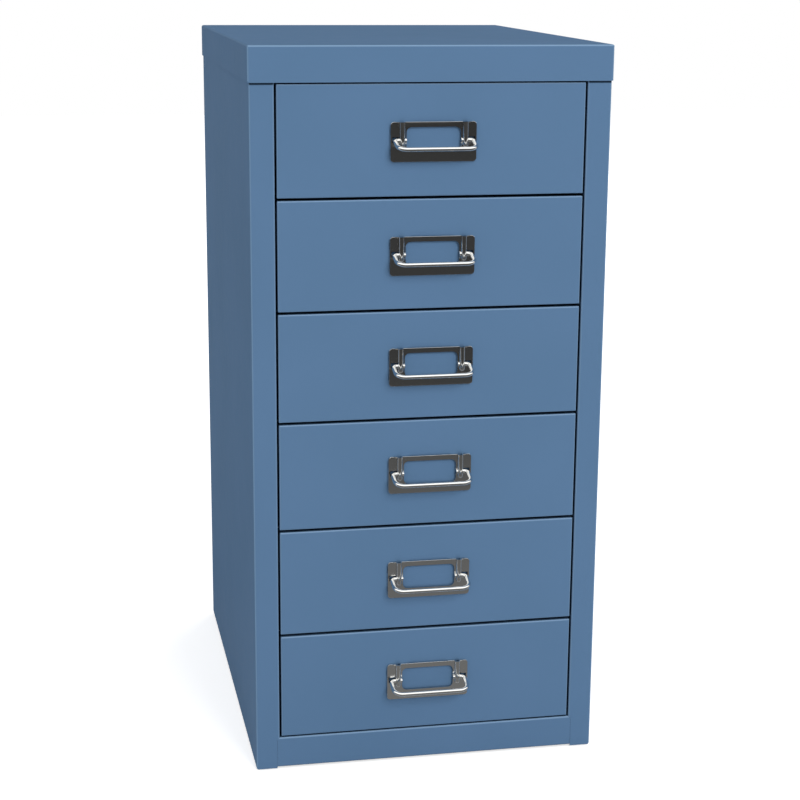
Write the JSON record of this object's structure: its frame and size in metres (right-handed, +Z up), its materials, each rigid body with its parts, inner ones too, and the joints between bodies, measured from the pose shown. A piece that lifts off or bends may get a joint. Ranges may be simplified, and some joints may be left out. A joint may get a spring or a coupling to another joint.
{
  "type": "small metal drawer cabinet",
  "caption": "Slim desk-height cabinet of folded painted steel with a slip-over top cap and shallow sliding drawers, each with a chromed label holder and hinged wire pull.",
  "frame": {"origin": "on the floor, under the middle of the cabinet's box taken with its wire pulls", "axes": "+X across the cabinet to the viewer's right, -Y out of the drawer fronts, +Z up"},
  "size_m": [0.288, 0.4012, 0.59],
  "materials": {
    "cabinet_paint": "satin blue powder coat",
    "tray_paint": "satin blue powder coat",
    "chrome_plate": "bright plated steel",
    "zinc_steel": "zinc coated",
    "nylon": "natural moulded nylon",
    "glide_plastic": "moulded black plastic"
  },
  "bodies": {
    "carcass": {"left_side": "cabinet_paint", "right_side": "cabinet_paint", "back_panel": "cabinet_paint", "top_cap": "cabinet_paint", "base_pan": "cabinet_paint", "foot_glides": "glide_plastic", "runner_pads": "nylon", "runner_left_1": "zinc_steel", "runner_left_2": "zinc_steel", "runner_left_3": "zinc_steel", "runner_left_4": "zinc_steel", "runner_left_5": "zinc_steel", "runner_left_6": "zinc_steel", "runner_right_1": "zinc_steel", "runner_right_2": "zinc_steel", "runner_right_3": "zinc_steel", "runner_right_4": "zinc_steel", "runner_right_5": "zinc_steel", "runner_right_6": "zinc_steel"},
    "drawer_1": {"drawer_front_1": "cabinet_paint", "drawer_tray_1": "tray_paint", "drawer_shoes_1": "nylon", "label_holder_1": "chrome_plate"},
    "pull_1": {"wire_pull_1": "chrome_plate"},
    "drawer_2": {"drawer_front_2": "cabinet_paint", "drawer_tray_2": "tray_paint", "drawer_shoes_2": "nylon", "label_holder_2": "chrome_plate"},
    "pull_2": {"wire_pull_2": "chrome_plate"},
    "drawer_3": {"drawer_front_3": "cabinet_paint", "drawer_tray_3": "tray_paint", "drawer_shoes_3": "nylon", "label_holder_3": "chrome_plate"},
    "pull_3": {"wire_pull_3": "chrome_plate"},
    "drawer_4": {"drawer_front_4": "cabinet_paint", "drawer_tray_4": "tray_paint", "drawer_shoes_4": "nylon", "label_holder_4": "chrome_plate"},
    "pull_4": {"wire_pull_4": "chrome_plate"},
    "drawer_5": {"drawer_front_5": "cabinet_paint", "drawer_tray_5": "tray_paint", "drawer_shoes_5": "nylon", "label_holder_5": "chrome_plate"},
    "pull_5": {"wire_pull_5": "chrome_plate"},
    "drawer_6": {"drawer_front_6": "cabinet_paint", "drawer_tray_6": "tray_paint", "drawer_shoes_6": "nylon", "label_holder_6": "chrome_plate"},
    "pull_6": {"wire_pull_6": "chrome_plate"}
  },
  "joints": [
    {"name": "drawer_1_slide", "type": "slide", "parent": "carcass", "child": "drawer_1", "axis": [0, -1, 0], "range_m": [0, 0.2935]},
    {"name": "drawer_2_slide", "type": "slide", "parent": "carcass", "child": "drawer_2", "axis": [0, -1, 0], "range_m": [0, 0.2935]},
    {"name": "drawer_3_slide", "type": "slide", "parent": "carcass", "child": "drawer_3", "axis": [0, -1, 0], "range_m": [0, 0.2935]},
    {"name": "drawer_4_slide", "type": "slide", "parent": "carcass", "child": "drawer_4", "axis": [0, -1, 0], "range_m": [0, 0.2935]},
    {"name": "drawer_5_slide", "type": "slide", "parent": "carcass", "child": "drawer_5", "axis": [0, -1, 0], "range_m": [0, 0.2935]},
    {"name": "drawer_6_slide", "type": "slide", "parent": "carcass", "child": "drawer_6", "axis": [0, -1, 0], "range_m": [0, 0.2935]},
    {"name": "pull_1_hinge", "type": "hinge", "parent": "drawer_1", "child": "pull_1", "pos_m": [0, -0.1815, 0.5175], "axis": [-1, 0, 0], "range_deg": [0, 75]},
    {"name": "pull_2_hinge", "type": "hinge", "parent": "drawer_2", "child": "pull_2", "pos_m": [0, -0.1815, 0.4285], "axis": [-1, 0, 0], "range_deg": [0, 75]},
    {"name": "pull_3_hinge", "type": "hinge", "parent": "drawer_3", "child": "pull_3", "pos_m": [0, -0.1815, 0.3395], "axis": [-1, 0, 0], "range_deg": [0, 75]},
    {"name": "pull_4_hinge", "type": "hinge", "parent": "drawer_4", "child": "pull_4", "pos_m": [0, -0.1815, 0.2505], "axis": [-1, 0, 0], "range_deg": [0, 75]},
    {"name": "pull_5_hinge", "type": "hinge", "parent": "drawer_5", "child": "pull_5", "pos_m": [0, -0.1815, 0.1615], "axis": [-1, 0, 0], "range_deg": [0, 75]},
    {"name": "pull_6_hinge", "type": "hinge", "parent": "drawer_6", "child": "pull_6", "pos_m": [0, -0.1815, 0.0725], "axis": [-1, 0, 0], "range_deg": [0, 75]}
  ]
}
